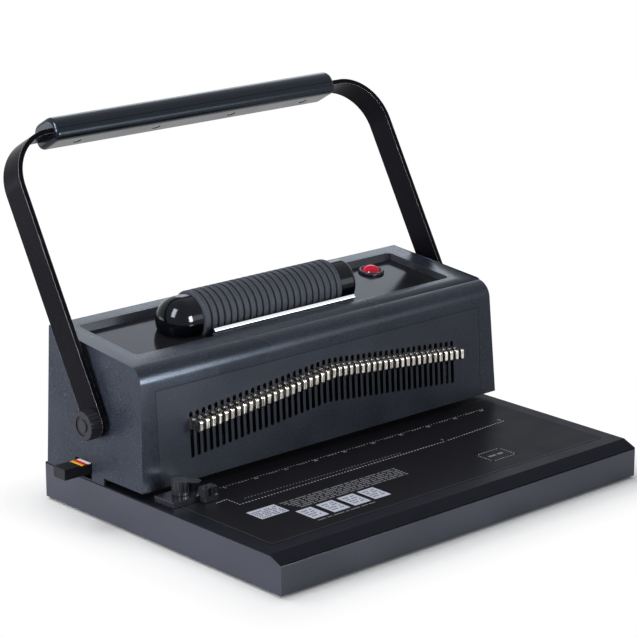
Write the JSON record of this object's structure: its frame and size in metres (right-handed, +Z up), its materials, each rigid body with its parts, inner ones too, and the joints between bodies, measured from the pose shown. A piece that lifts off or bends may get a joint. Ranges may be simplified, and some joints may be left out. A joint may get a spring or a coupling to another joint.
{
  "type": "coil binding machine",
  "caption": "Lever punch and coil winder for bound books: paper table, slotted housing with a stepped row of pull hooks, U-shaped handle, powered ribbed roller and push button.",
  "frame": {"origin": "on the table under the middle of the base", "axes": "+X to the operator's right along the row of pins, +Y to the back, +Z up"},
  "size_m": [0.429, 0.3455, 0.2997],
  "materials": {
    "housing_paint": "fine textured powder coat",
    "base_paint": "satin powder coat",
    "deck_black": "satin",
    "panel_black": "satin, with plain printed marks",
    "strap_black": "gloss",
    "grip_plastic": "semi-gloss",
    "black_plastic": "matte",
    "gloss_black": "gloss",
    "button_red": "gloss",
    "roller_rubber": "matte",
    "foot_rubber": "matte",
    "nickel": "bright nickel plate",
    "bright_chrome": "polished",
    "steel": "ground",
    "fasteners": "zinc plated",
    "black_steel": "blackened",
    "bronze": "plain",
    "gear_plastic": "natural",
    "motor_case": "satin"
  },
  "bodies": {
    "machine": {"housing_shell": "housing_paint", "front_panel": "housing_paint", "rear_cover": "housing_paint", "base_shell": "base_paint", "base_plate": "base_paint", "deck_cover": "deck_black", "tray_panel": "panel_black", "selector_guide": "black_plastic", "left_end_cap": "gloss_black", "right_end_cap": "gloss_black", "recess_liner": "gloss_black", "button_bezel": "gloss_black", "button_switch": "gloss_black", "power_inlet": "gloss_black", "rubber_feet": "foot_rubber", "coil_rail": "bright_chrome", "left_side_frame": "steel", "right_side_frame": "steel", "punch_guide": "steel", "die_plate": "steel", "die_spacers": "steel", "guide_rods": "steel", "return_springs": "steel", "roller_bearings": "steel", "base_screws": "fasteners", "rear_screws": "fasteners", "frame_bolts": "fasteners", "die_bolts": "fasteners", "left_shaft_bush": "bronze", "right_shaft_bush": "bronze", "inserter_motor": "motor_case"},
    "handle": {"drive_shaft": "steel", "left_drive_gear": "steel", "right_drive_gear": "steel", "shaft_collars": "black_steel", "handle_strap": "strap_black", "grip_upper": "grip_plastic", "grip_lower": "grip_plastic", "grip_screws": "fasteners"},
    "left_knob": {"left_knob": "black_plastic"},
    "right_knob": {"right_knob": "black_plastic"},
    "punch": {"punch_bar": "steel", "pin_holder": "steel", "punch_pins": "steel", "pull_hooks": "nickel", "left_rack": "steel", "right_rack": "steel"},
    "selector": {"selector_slide": "black_plastic"},
    "depth_stop": {"depth_stop": "steel"},
    "edge_guide": {"edge_guide": "black_plastic", "edge_guide_nut": "steel"},
    "edge_clamp": {"edge_guide_knob": "black_plastic"},
    "chip_drawer": {"chip_drawer": "black_plastic"},
    "roller": {"roller_core": "steel", "roller_sleeve": "roller_rubber", "roller_gear": "gear_plastic"},
    "motor_gear": {"motor_gear": "gear_plastic"},
    "button": {"button_cap": "button_red"}
  },
  "joints": [
    {"name": "handle_pull", "type": "hinge", "parent": "machine", "child": "handle", "pos_m": [0, 0.071, 0.082], "axis": [1, 0, 0], "range_deg": [0, 93]},
    {"name": "punch_stroke", "type": "slide", "parent": "machine", "child": "punch", "axis": [0, 0, -1], "range_m": [0, 0.022], "deforming": ["return_springs"]},
    {"name": "left_knob_turn", "type": "hinge", "parent": "handle", "child": "left_knob", "pos_m": [-0.2, 0.071, 0.082], "axis": [-1, 0, 0], "continuous": true},
    {"name": "right_knob_turn", "type": "hinge", "parent": "handle", "child": "right_knob", "pos_m": [0.2, 0.071, 0.082], "axis": [1, 0, 0], "continuous": true},
    {"name": "selector_shift", "type": "slide", "parent": "machine", "child": "selector", "axis": [1, 0, 0], "range_m": [0, 0.012]},
    {"name": "stop_shift", "type": "slide", "parent": "machine", "child": "depth_stop", "axis": [0, -1, 0], "range_m": [0, 0.004]},
    {"name": "edge_guide_slide", "type": "slide", "parent": "machine", "child": "edge_guide", "axis": [1, 0, 0], "range_m": [-0.005, 0.033]},
    {"name": "edge_clamp_turn", "type": "hinge", "parent": "edge_guide", "child": "edge_clamp", "pos_m": [-0.17, 0.001, 0.04], "axis": [0, 0, 1], "continuous": true},
    {"name": "drawer_slide", "type": "slide", "parent": "machine", "child": "chip_drawer", "axis": [1, 0, 0], "range_m": [0, 0.3]},
    {"name": "roller_spin", "type": "hinge", "parent": "machine", "child": "roller", "pos_m": [0, 0.087, 0.14299], "axis": [1, 0, 0], "continuous": true},
    {"name": "motor_spin", "type": "hinge", "parent": "machine", "child": "motor_gear", "pos_m": [0, 0.087, 0.11298], "axis": [1, 0, 0], "continuous": true},
    {"name": "button_press", "type": "slide", "parent": "machine", "child": "button", "axis": [0, 0.0995, -0.995], "range_m": [0, 0.0025], "stiffness_N_per_m": 400}
  ],
  "couplings": [
    {"joint": "punch_stroke", "follows": "handle_pull", "m_per_rad": 0.0135},
    {"joint": "stop_shift", "follows": "selector_shift", "ratio": 0.33333},
    {"joint": "motor_spin", "follows": "roller_spin", "ratio": -1}
  ]
}
